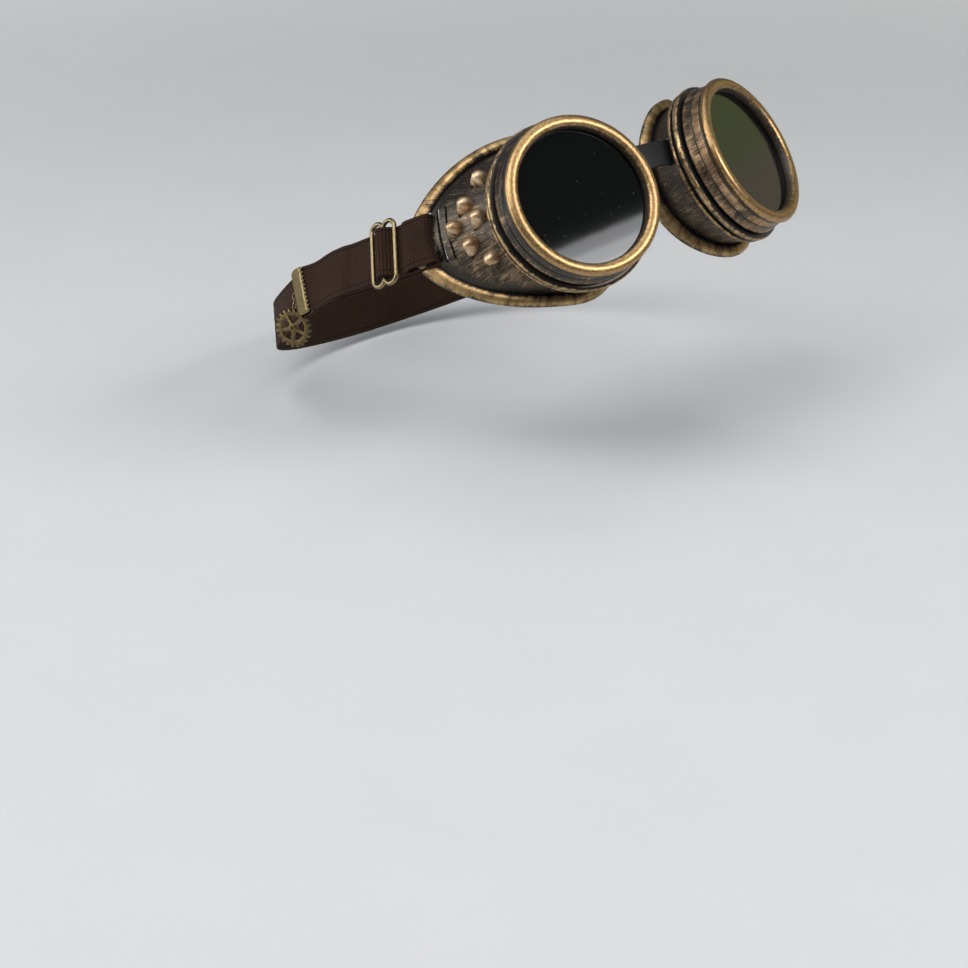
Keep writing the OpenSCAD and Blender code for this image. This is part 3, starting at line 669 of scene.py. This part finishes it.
def cut(obj, blocks):
    """Cuts the blocks out of obj, one by one, and leaves no modifier behind."""
    for i, (v, f) in enumerate(blocks):
        me = bpy.data.meshes.new("cut")
        me.from_pydata([tuple(np.array(p) * MM) for p in v], [], f)
        c = bpy.data.objects.new("cut", me)
        scene.collection.objects.link(c)
        m = obj.modifiers.new("cut", "BOOLEAN")
        m.operation = "DIFFERENCE"
        m.solver = "EXACT"
        m.object = c
        dg = bpy.context.evaluated_depsgraph_get()
        new = bpy.data.meshes.new_from_object(obj.evaluated_get(dg))
        obj.modifiers.clear()
        obj.data = new
        bpy.data.objects.remove(c)


def rim_table():
    t = np.linspace(0, 360, 1441)
    p = np.array([flange_p(a) for a in t[:-1]])
    th = np.degrees(np.arctan2(p[:, 1], p[:, 0])) % 360
    i = np.argsort(th)
    return th[i], np.hypot(p[:, 0], p[:, 1])[i]


def build_cup(side, tag):
    v, f, w, m = shell_mesh()
    v = [tuple(p) for p in np.array(v) @ rot_z(ROLL).T]
    tmp = make("tmp_shell", v, f, [M_WALL, M_INSIDE], m, w)
    cut(tmp, cutters())
    me = tmp.data
    co = np.zeros(len(me.vertices) * 3)
    me.vertices.foreach_get("co", co)
    co = co.reshape(-1, 3) / MM
    # wear_and_shade of each vertex of the cut shell, from its place on the rolled section
    q = co @ rot_z(ROLL)
    th = np.degrees(np.arctan2(q[:, 1], q[:, 0])) % 360
    tt, tr = rim_table()
    ro = np.interp(th, tt, tr, period=360)
    r = np.hypot(q[:, 0], q[:, 1])
    depth = ro - r
    front = -flange_d_np(r * np.cos(np.radians(th)))
    rise = q[:, 2] - front
    wear_and_shade = np.where(depth < 4.75, np.interp(depth, [-0.1, 0.4, 1.0, 2.4, 3.6, 4.3, 4.75], [0.5, 0.68, 0.76, 0.70, 0.5, 0.1, -0.5]),
                    np.interp(depth, [4.75, 5.2, 6.5, 14, 22], [-0.5, 0.0, 0.22, 0.30, 0.18]))
    wear_and_shade = np.where((depth < 4.75) & (rise < -0.9), -0.1, wear_and_shade)
    wear_and_shade = np.where((depth < 4.75) & (rise > 1.6), np.interp(rise, [1.6, 2.4, 4.0], [-0.45, 0.05, 0.22]), wear_and_shade)
    # more metal paint towards the lower half of the wall
    wear_and_shade = np.where((depth >= 4.75) | (rise > 1.6), wear_and_shade - 0.12 * q[:, 1] / np.maximum(r, 1), wear_and_shade)
    faces = [tuple(p.vertices) for p in me.polygons]
    inner = [p.material_index == 1 for p in me.polygons]
    bpy.data.objects.remove(tmp)
    rim = [4 if i else 3 if depth[list(f)].mean() < 4.7 and -1.4 < rise[list(f)].mean() < 1.7 else 0 for f, i in zip(faces, inner)]
    shell = ([tuple(p) for p in co], faces, list(wear_and_shade), rim)
    nv, nf, nw, nm = lathe(soften(NECK, 0.16), 288)
    neck = (nv, outward(nv, nf), nw, nm)
    parts = [shell, neck, thread_mesh(1 if side > 0 else -1)] + [stud_mesh(p) for p in STUDS]
    V, F, W, M = join(parts)
    o = make(tag + "_cup_shell", V, F, [M_WALL, M_RIDGE, M_STUD, M_RIM, M_INSIDE], M, W, side=side, matrix=lens_matrix(side), angle=38)
    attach(o, tag + "_frame")
    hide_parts(tag + "_cup")
    return o


def flange_d_np(x):
    return 24.3 + 0.01 * x * x


# ------------------------------------------------------------------ strap: the same route as the part's source, in mm
ROUTE = np.array([[76.5, 49.5, 10.5], [80.1, 61, 12.4], [83, 76.6, 15], [84.5, 98.4, 18.1], [83, 120.2, 19.8], [77.9, 141.5, 19.6],
                  [69.6, 160.8, 19.8], [57, 176.1, 21], [40, 188, 22], [20.5, 195, 22.5], [0, 197, 22.5], [-20.5, 195, 22.5]])
LEAN = np.array([14.5, 19, 22.5, 23, 22, 21.5, 20, 17, 14, 12, 11, 12.0])
RS = np.concatenate([[0], np.cumsum(np.linalg.norm(np.diff(ROUTE, axis=0), axis=1))])


def slope(v, i):
    if i == 0:
        return (v[1] - v[0]) / RS[1]
    if i == len(v) - 1:
        return (v[i] - v[i - 1]) / (RS[i] - RS[i - 1])
    h0, h1 = RS[i] - RS[i - 1], RS[i + 1] - RS[i]
    return ((v[i] - v[i - 1]) / h0 * h1 + (v[i + 1] - v[i]) / h1 * h0) / (h0 + h1)


def curve(v, s):
    i = 0
    while i < len(ROUTE) - 2 and s >= RS[i + 1]:
        i += 1
    h = RS[i + 1] - RS[i]
    t = (s - RS[i]) / h
    return ((2 * t ** 3 - 3 * t * t + 1) * v[i] + (t ** 3 - 2 * t * t + t) * h * slope(v, i)
            + (3 * t * t - 2 * t ** 3) * v[i + 1] + (t ** 3 - t * t) * h * slope(v, i + 1))


def unit(a):
    return a / np.linalg.norm(a)


def strap_d(s):
    return unit(curve(ROUTE, s + 0.5) - curve(ROUTE, s - 0.5))


def strap_v(s):
    d = strap_d(s)
    o = unit(np.array([d[1], -d[0], 0]))
    u = unit(np.cross(o, d))
    f = float(curve(LEAN, s))
    return cos(f) * u - sin(f) * o


def strap_n(s):
    return np.cross(strap_d(s), strap_v(s))


SLIDER_S, SLIDER_N, SLIDER_HALF, CRIMP_S, TAIL_S = 20.2, 1.4, 5.6, 64.5, 69.0
STRAP_END = RS[10]


def smooth(x):
    t = max(0.0, min(1.0, x))
    return t * t * (3 - 2 * t)


def bump_at(x):
    return 0.0 if abs(x) >= 1 else (1 + cos(180 * x)) / 2


def weave(s, hump=False):
    x = s - SLIDER_S
    base = -0.85 * (smooth((x + 12.5) / 3.4) - smooth((x - 18) / 5))
    return base + (4.5 * bump_at(x / SLIDER_HALF) if hump else 0.0)


def gap(s):
    return 0.62 + 1.28 * (1 - smooth((s - 9.2) / 4))


def mid(s, hump=False):
    return curve(ROUTE, s) + weave(s, hump) * strap_n(s)


def mid_n(s, hump=False):
    t = unit(mid(s + 0.2, hump) - mid(s - 0.2, hump))
    return unit(np.cross(t, strap_v(s)))


def tail_lift(s):
    x = max(0, s - 56)
    return 0.02 * x * x if x < 8 else 1.28 + 0.32 * (x - 8)


def tail_skew(s):
    return 11 * smooth((s - 56) / 9)


def tail_drop(s):
    return 1.1 * smooth((s - 48) / 14)


def centre(s, side, hump=False):
    c = mid(s, hump) + side * (gap(s) + (tail_lift(s) if side > 0 else 0)) * mid_n(s, hump)
    return c - (tail_drop(s) * strap_v(s) if side > 0 else 0)


def along(s, side, hump=False):
    return unit(centre(s + 0.2, side, hump) - centre(s - 0.2, side, hump))


def station(s, side, hump=False):
    k = tail_skew(s) if side > 0 else 0
    a = along(s, side, hump)
    v = strap_v(s) + math.tan(math.radians(k)) * a
    return centre(s, side, hump), v, side * unit(np.cross(a, strap_v(s))), (s if side > 0 else -s - 2.77)


def turn(a):
    n, d, r = strap_n(1.6), strap_d(1.6), gap(1.6)
    e = cos(a) * n - sin(a) * d
    return curve(ROUTE, 1.6) + r * e, strap_v(1.6), e, 1.6 - math.pi * r * a / 180


# section of the elastic: (across, through), with a raised rib and a shallow groove along each woven edge
def strap_section(w=18.4, t=1.0):
    h = w / 2
    across = [-h + 0.32, -h + 0.8, -h + 1.25, -h + 1.5, -h + 1.8, -6.2, -4.6, -3.0, -1.5, 0, 1.5, 3.0, 4.6, 6.2, h - 1.8, h - 1.5, h - 1.25, h - 0.8, h - 0.32]
    thick = [0.47, 0.5, 0.47, 0.42, 0.46, 0.49, 0.5, 0.5, 0.5, 0.5, 0.5, 0.5, 0.5, 0.49, 0.46, 0.42, 0.47, 0.5, 0.47]
    top = [(x, y) for x, y in zip(across, thick)]
    sec = [(-h, -0.24), (-h, 0.24), (-h + 0.1, 0.4)] + top + [(h - 0.1, 0.4), (h, 0.24), (h, -0.24), (h - 0.1, -0.4)] + [(x, -y) for x, y in reversed(top)] + [(-h + 0.1, -0.4)]
    return sec


def ribbon(stations, name, side=None):
    sec = strap_section()
    k, n = len(sec), len(stations)
    verts, uv, faces = [], [], []
    for c, v, e, s in stations:
        c = c + 0.85 * (1 - smooth(abs(-s - 2.77 - 70) / 17)) * e    # the inner layer leaves room for the charm's swing
        lead = 1 - smooth((abs(s + 1.4) - 3.2) / 5)               # the fold's corners lean into the slot
        d0 = strap_d(1.6) * (np.array([-1, 1, 1]) if c[0] < 0 else 1)
        for x, y in sec:
            push = lead * (abs(x) / 9.2) ** 1.4 * (0.75 if x > 0 else 1.75)
            verts.append(c + x * v + y * e - push * d0)
            uv.append((s, x))
    for i in range(n - 1):
        for j in range(k):
            a, b = i * k + j, i * k + (j + 1) % k
            faces.append((a, b, (i + 1) * k + (j + 1) % k, (i + 1) * k + j))
    faces.append(tuple(range(k - 1, -1, -1)))
    faces.append(tuple((n - 1) * k + j for j in range(k)))
    faces = outward_local(verts, faces)
    return verts, faces, uv


def flip(q):
    f = np.array([-1, 1, 1])
    return q[0] * f, q[1] * f, q[2] * f, q[3]


def build_strap():
    s_list = list(np.arange(1.7, 12.0, 0.8)) + list(np.arange(12.2, 46, 1.0)) + list(np.arange(46, 73, 1.1))
    half = [station(TAIL_S, 1)]
    half += [station(s, 1) for s in reversed(s_list) if s < TAIL_S - 0.6]
    half += [turn(a) for a in range(0, 181, 10)]
    half += [station(s, -1) for s in s_list]
    half += [station(s, -1) for s in np.arange(74.5, STRAP_END - 1.5, 2.0)]
    full = half + [flip(q) for q in reversed(half)]
    v, f, uv = ribbon(full, "strap")
    o = make("strap_webbing", v, f, [M_STRAP], uv=uv, angle=50)
    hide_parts("head_strap")
    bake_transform(o)
    return o


def build_hump(side, tag):
    """The short rise of the doubled strap over the slider's centre bar. It goes with the slider."""
    V, F, U = [], [], []
    for layer in (1, -1):
        st = [station(SLIDER_S + x, layer, True) for x in np.arange(-5.2, 5.21, 0.4)]
        st = [(c - 0.03 * strap_n(s), v * 0.998, e, s) for c, v, e, s in st]
        v, f, uv = ribbon(st, "hump")
        b = len(V)
        V += list(v)
        F += [tuple(i + b for i in q) for q in f]
        U += uv
    o = make(tag + "_strap_rise", V, F, [M_STRAP], uv=U, side=side, angle=50)
    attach(o, tag + "_slide")
    return o


# ------------------------------------------------------------------ slider wire
def tube(path, radius, closed, normal, n=24):
    """Round wire along a flat path whose plane has that normal."""
    verts, faces = [], []
    p = [np.array(q, float) for q in path]
    m = len(p)
    nn = np.array(normal, float)
    for i in range(m):
        if closed:
            t = unit(p[(i + 1) % m] - p[i - 1])
        else:
            t = unit(p[min(i + 1, m - 1)] - p[max(i - 1, 0)])
        b = unit(np.cross(t, nn))
        for j in range(n):
            a = 2 * math.pi * j / n
            verts.append(p[i] + radius * (math.cos(a) * nn + math.sin(a) * b))
    for i in range(m if closed else m - 1):
        for j in range(n):
            a, b2 = i * n + j, i * n + (j + 1) % n
            faces.append((a, b2, ((i + 1) % m) * n + (j + 1) % n, ((i + 1) % m) * n + j))
    if not closed:
        faces.append(tuple(range(n - 1, -1, -1)))
        faces.append(tuple((m - 1) * n + j for j in range(n)))
    return verts, outward_local(verts, faces)


def build_slider(side, tag):
    D, V, N = strap_d(SLIDER_S), strap_v(SLIDER_S), strap_n(SLIDER_S)
    P = curve(ROUTE, SLIDER_S) + SLIDER_N * N
    h, R, H = 9.2, SLIDER_HALF / 2, SLIDER_HALF
    bar = list(np.linspace(-h, h, 24))
    one = [(-H, z) for z in bar] + [(-R - R * cos(a), h + R * sin(a)) for a in range(8, 180, 8)]
    one += [(0, z) for z in reversed(bar)] + [(-R + R * cos(a), -h - R * sin(a)) for a in range(8, 180, 8)]
    two = [(0, h)] + [(R - R * cos(a), h + R * sin(a)) for a in range(4, 180, 8)] + [(H, z) for z in reversed(bar)]
    two += [(R + R * cos(a), -h - R * sin(a)) for a in range(4, 180, 8)] + [(0, -h)]
    parts = []
    for path, closed in ((one, True), (two, False)):
        pts = [P + y * D + z * V for y, z in path]
        v, f = tube(pts, 0.85, closed, N)
        parts.append((v, f, [0.5] * len(v), [0] * len(f)))
    v, f, w, m = join(parts)
    o = make(tag + "_slider_wire", v, f, [M_WIRE], m, w, side=side, angle=50)
    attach(o, tag + "_slide")
    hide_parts(tag + "_slider")
    return o


# ------------------------------------------------------------------ nose bridge
def build_bridge():
    bu, bw, bz, h, t = -26.3, -18.3, 9.9, 9.6, 1.6
    bx = C0 + bu * cos(YAW) + bw * sin(YAW)
    by = bu * sin(YAW) - bw * cos(YAW)
    R = bx / sin(YAW)
    span = YAW + 7.4
    sec = []
    c = 0.32
    for sx, sz, a0 in ((1, -1, -90), (1, 1, 0), (-1, 1, 90), (-1, -1, 180)):
        for k in range(4):
            a = a0 + 30 * k
            sec.append((sx * (t / 2 - c) + c * cos(a), sz * (h / 2 - c) + c * sin(a)))
    # the strip is swept round its arc in 89 sections
    verts, faces = [], []
    n = 89
    k = len(sec)
    for i in range(n):
        a = -span + 2 * span * i / (n - 1)
        o = np.array([0, by + R * cos(YAW), bz])
        rad = np.array([sin(a), -cos(a), 0])
        for x, z in sec:
            verts.append(o + (R + x) * rad + np.array([0, 0, z]))
    for i in range(n - 1):
        for j in range(k):
            a, b = i * k + j, i * k + (j + 1) % k
            faces.append((a, b, (i + 1) * k + (j + 1) % k, (i + 1) * k + j))
    faces.append(tuple(range(k - 1, -1, -1)))
    faces.append(tuple((n - 1) * k + j for j in range(k)))
    parts = [(verts, outward_local(verts, faces), [0.0] * len(verts), [0] * len(faces))]
    for s in (-1, 1):
        a = s * span
        c0 = np.array([R * sin(a), by + R * cos(YAW) - R * cos(a), bz])
        prof = [(0.01, -h / 2), (1.2, -h / 2), (1.42, -h / 2 + 0.08), (1.5, -h / 2 + 0.3), (1.5, h / 2 - 0.3), (1.42, h / 2 - 0.08), (1.2, h / 2), (0.01, h / 2)]
        m = 28
        v = [c0 + np.array([r * math.cos(2 * math.pi * i / m), r * math.sin(2 * math.pi * i / m), z]) for r, z in prof for i in range(m)]
        f = [(j * m + i, j * m + (i + 1) % m, (j + 1) * m + (i + 1) % m, (j + 1) * m + i) for j in range(len(prof) - 1) for i in range(m)]
        f += [tuple(range(m - 1, -1, -1)), tuple((len(prof) - 1) * m + i for i in range(m))]
        parts.append((v, outward_local(v, f), [0.0] * len(v), [0] * len(f)))
    v, f, w, m = join(parts)
    o = make("bridge_rubber_strip", v, f, [M_BRIDGE], m, w, angle=35)
    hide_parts("nose_bridge")
    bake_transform(o)
    return o


# ------------------------------------------------------------------ small hardware: the CAD shape with its edges worn round
def crimp_matrix(side):
    """The crimp's own frame: x out of the strap's face, y along it, z across it."""
    z = unit(station(CRIMP_S, 1)[1])
    x = unit(np.cross(along(CRIMP_S, 1), z))
    y = np.cross(z, x)
    p = centre(CRIMP_S, 1) * MM
    f = np.array([side, 1, 1])
    x, y, z, p = x * f * side, y * f, z * f, p * f
    return Matrix([[x[i], y[i], z[i], p[i]] for i in range(3)] + [[0, 0, 0, 1]])


def add_border(bm, side):
    """A raised band beside the teeth on the outer face."""
    h = 18.6 / 2 - 0.5
    top = 0.7 + 0.45
    prof = [(1.0, top - 0.05), (1.1, top + 0.16), (1.3, top + 0.24), (1.9, top + 0.24), (2.1, top + 0.16), (2.2, top - 0.05)]
    rows = []
    for z in (-h, -h + 0.12, h - 0.12, h):
        d = 0.12 if abs(z) == h else 0.0
        rows.append([bm.verts.new((side * (x - (d if x > top else 0)) * MM, y * MM, z * MM)) for y, x in prof])
    for a, b in zip(rows, rows[1:]):
        for i in range(len(prof) - 1):
            bm.faces.new((a[i], a[i + 1], b[i + 1], b[i]))
        bm.faces.new((a[-1], a[0], b[0], b[-1]))
    bm.faces.new(rows[0])
    bm.faces.new(rows[-1])
    mine = {v for row in rows for v in row}
    for f in bm.faces:
        if all(v in mine for v in f.verts):
            f.material_index = 1


def worn_copy(node, name, body, mat, width, segments=2, matrix=None, extra=None, side=1, shrink=0.0):
    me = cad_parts[node].data.copy()
    me.name = name
    me.materials.clear()
    me.materials.append(mat)
    if extra is not None:
        me.materials.append(M_WIRE)
    bm = bmesh.new()
    bm.from_mesh(me)
    bmesh.ops.remove_doubles(bm, verts=bm.verts, dist=2e-6)
    if matrix is not None:
        bmesh.ops.transform(bm, matrix=matrix.inverted(), verts=bm.verts)
    if width:                                                     # flat faces only: round wire keeps every facet
        flat = {v for v in bm.verts if extra is None or v.co.y < 5.85 * MM}
        bmesh.ops.dissolve_limit(bm, angle_limit=math.radians(1.5), verts=list(flat), edges=[e for e in bm.edges if all(v in flat for v in e.verts)])
    bmesh.ops.recalc_face_normals(bm, faces=bm.faces)
    if bm.calc_volume(signed=True) < 0:
        bmesh.ops.reverse_faces(bm, faces=bm.faces)
    for f in bm.faces:
        f.material_index = 0
    if extra is not None:
        # the corners beside the loop are rounded, clear of the swinging charm
        ends = [e for e in bm.edges if all(abs(v.co.z) > 9.3 * MM and v.co.y > 5.6 * MM for v in e.verts)
                and abs(e.verts[0].co.x - e.verts[1].co.x) > 0.9 * e.calc_length()]
        bmesh.ops.bevel(bm, geom=ends, offset=2.0 * MM, offset_type="OFFSET", segments=4, profile=0.5, affect="EDGES", clamp_overlap=True)
    if width:
        edges = [e for e in bm.edges if len(e.link_faces) == 2 and e.calc_face_angle(0) > math.radians(30)]
        bmesh.ops.bevel(bm, geom=edges, offset=width * MM, offset_type="OFFSET", segments=segments, profile=0.5, affect="EDGES", clamp_overlap=True)
    if shrink:
        bm.normal_update()
        for v, n in [(v, v.normal.copy()) for v in bm.verts]:
            v.co -= n * shrink * MM
    if extra is not None:
        extra(bm, side)
        bmesh.ops.recalc_face_normals(bm, faces=bm.faces)
    bm.to_mesh(me)
    bm.free()
    a = me.attributes.new("wear_and_shade", "FLOAT", "POINT")
    a.data.foreach_set("value", np.full(len(me.vertices), 0.3, np.float32))
    sharp(me, 40)
    o = bpy.data.objects.new(name, me)
    scene.collection.objects.link(o)
    if matrix is not None:
        o.matrix_world = matrix
    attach(o, body)
    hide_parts(node)
    return o


def keep_node(node, mat):
    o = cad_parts[node]
    o.data.materials.clear()
    o.data.materials.append(mat)
    for p in o.data.polygons:
        p.material_index = 0


for side, tag in ((-1, "right"), (1, "left")):
    build_ring(side, tag)
    build_cup(side, tag)
    build_slider(side, tag)
    build_hump(side, tag)
    worn_copy(tag + "_crimp", tag + "_crimp_plate", tag + "_frame", M_CRIMP, 0.07, matrix=crimp_matrix(side), extra=add_border, side=side)
    worn_copy(tag + "_jump_ring", tag + "_jump_wire", tag + "_link", M_WIRE, 0, shrink=0.11)
    worn_copy(tag + "_gear_charm", tag + "_gear_cast", tag + "_charm", M_GEAR, 0.09)
    keep_node(tag + "_dark_lens", M_GLASS[side])
    keep_node(tag + "_clear_lens", M_CLEAR)
    keep_node(tag + "_lens_gasket", M_GASKET)
build_strap()
build_bridge()

# ------------------------------------------------------------------ floor and light
def floor_material():
    g = Graph("pale_floor")
    o = g.object_mm()
    n = g.noise(o, 0.02, 3.0)
    g.put(g.bsdf.inputs["Base Color"], g.mix(n, (0.60, 0.60, 0.597), (0.64, 0.64, 0.636)))
    g.bsdf.inputs["Roughness"].default_value = 0.85
    back = g.node("ShaderNodeNewGeometry")
    clear = g.node("ShaderNodeBsdfTransparent")
    mix = g.node("ShaderNodeMixShader")
    x, y, _ = g.sep(o)
    away = g.math("SQRT", g.math("ADD", g.math("MULTIPLY", x, x), g.math("MULTIPLY", y, y)))
    g.nt.links.new(g.math("MAXIMUM", back.outputs["Backfacing"], g.step(away, 420.0, 1250.0)), mix.inputs[0])
    g.nt.links.new(g.bsdf.outputs[0], mix.inputs[1])
    g.nt.links.new(clear.outputs[0], mix.inputs[2])
    g.nt.links.new(mix.outputs[0], g.out.inputs["Surface"])
    return g.mat


bpy.ops.mesh.primitive_plane_add(size=12)
floor = bpy.context.object
floor.name = "floor"
floor.data.materials.append(floor_material())
floor.rotation_mode = "QUATERNION"
floor.rotation_quaternion = UP.to_track_quat("Z", "Y")
floor.location = UP * -0.112

world = bpy.data.worlds.new("studio")
scene.world = world
world.use_nodes = True
wn = world.node_tree
wn.nodes.clear()
w_out = wn.nodes.new("ShaderNodeOutputWorld")
w_mix = wn.nodes.new("ShaderNodeMixShader")
w_path = wn.nodes.new("ShaderNodeLightPath")
w_dim = wn.nodes.new("ShaderNodeBackground")
w_dim.inputs[0].default_value = (0.80, 0.86, 0.95, 1)
w_dim.inputs[1].default_value = 0.13
w_pale = wn.nodes.new("ShaderNodeBackground")
w_pale.inputs[0].default_value = (0.80, 0.80, 0.80, 1)
w_pale.inputs[1].default_value = 0.9
wn.links.new(w_path.outputs["Is Camera Ray"], w_mix.inputs[0])
wn.links.new(w_dim.outputs[0], w_mix.inputs[1])
wn.links.new(w_pale.outputs[0], w_mix.inputs[2])
wn.links.new(w_mix.outputs[0], w_out.inputs[0])

FOCUS = Vector((-0.02, 0.05, 0.0))


def area(name, offset, size, power, color):
    l = bpy.data.lights.new(name, "AREA")
    l.shape = "RECTANGLE"
    l.size, l.size_y = size
    l.energy = power
    l.color = color
    o = bpy.data.objects.new(name, l)
    scene.collection.objects.link(o)
    o.location = FOCUS + offset
    o.rotation_mode = "QUATERNION"
    o.rotation_quaternion = offset.to_track_quat("Z", "Y")
    return o


area("key", (CX * -0.65 + UP * 0.95 + CZ * 0.75), (1.1, 0.8), 12.0, (1.0, 0.97, 0.93))
area("sky", (UP * 1.35 + CZ * 0.1), (1.5, 1.5), 9.0, (0.88, 0.94, 1.0))
area("back", Vector((-0.95, 0.42, 0.62)), (0.8, 0.8), 8.0, (0.88, 0.94, 1.0))
area("rear", Vector((0.35, 1.25, 0.35)), (1.0, 0.8), 4.0, (0.97, 0.98, 1.0))


def panel(name, centre_m, x_axis, z_axis, size, power, color):
    """Soft panel that faces along -z_axis."""
    o = area(name, Vector((0, 0, 1)), size, power, color)
    z = Vector(z_axis).normalized()
    x = Vector(x_axis)
    x = (x - z * x.dot(z)).normalized()
    y = z.cross(x)
    o.rotation_quaternion = Matrix(((x[0], y[0], z[0]), (x[1], y[1], z[1]), (x[2], y[2], z[2]))).to_quaternion()
    o.location = Vector(centre_m)
    return o


# low front panel, whose upper edge shows across the foot of the right lens
panel("low", (0.2859, -1.1048, 0.0032), (0.9595, 0.2808, -0.0223), (0.2812, -0.9501, 0.1348), (0.6, 0.3), 2.6, (0.97, 0.98, 1.0))
panel("low_2", (0.2861, -1.1064, -0.0086), (0.9595, 0.2808, -0.0223), (0.2812, -0.9501, 0.1348), (0.6, 0.3), 2.0, (0.97, 0.98, 1.0))
panel("low_3", (0.2863, -1.108, -0.0206), (0.9595, 0.2808, -0.0223), (0.2812, -0.9501, 0.1348), (0.6, 0.3), 1.8, (0.97, 0.98, 1.0))
# two dim panels beside the left lens
panel("side_upper", (1.1456, -0.2228, 0.3117), (0.1569, 0.9787, 0.1323), (0.9699, -0.1779, 0.1662), (0.5, 0.3), 0.17, (0.85, 1.0, 0.25))
panel("side_lower", (1.1897, -0.19, 0.0168), (0.1623, 0.9777, 0.1331), (0.9756, -0.1792, 0.1267), (0.5, 0.3), 0.2, (1.0, 0.78, 0.55))

scene.view_settings.view_transform = "Standard"
scene.view_settings.look = "None"
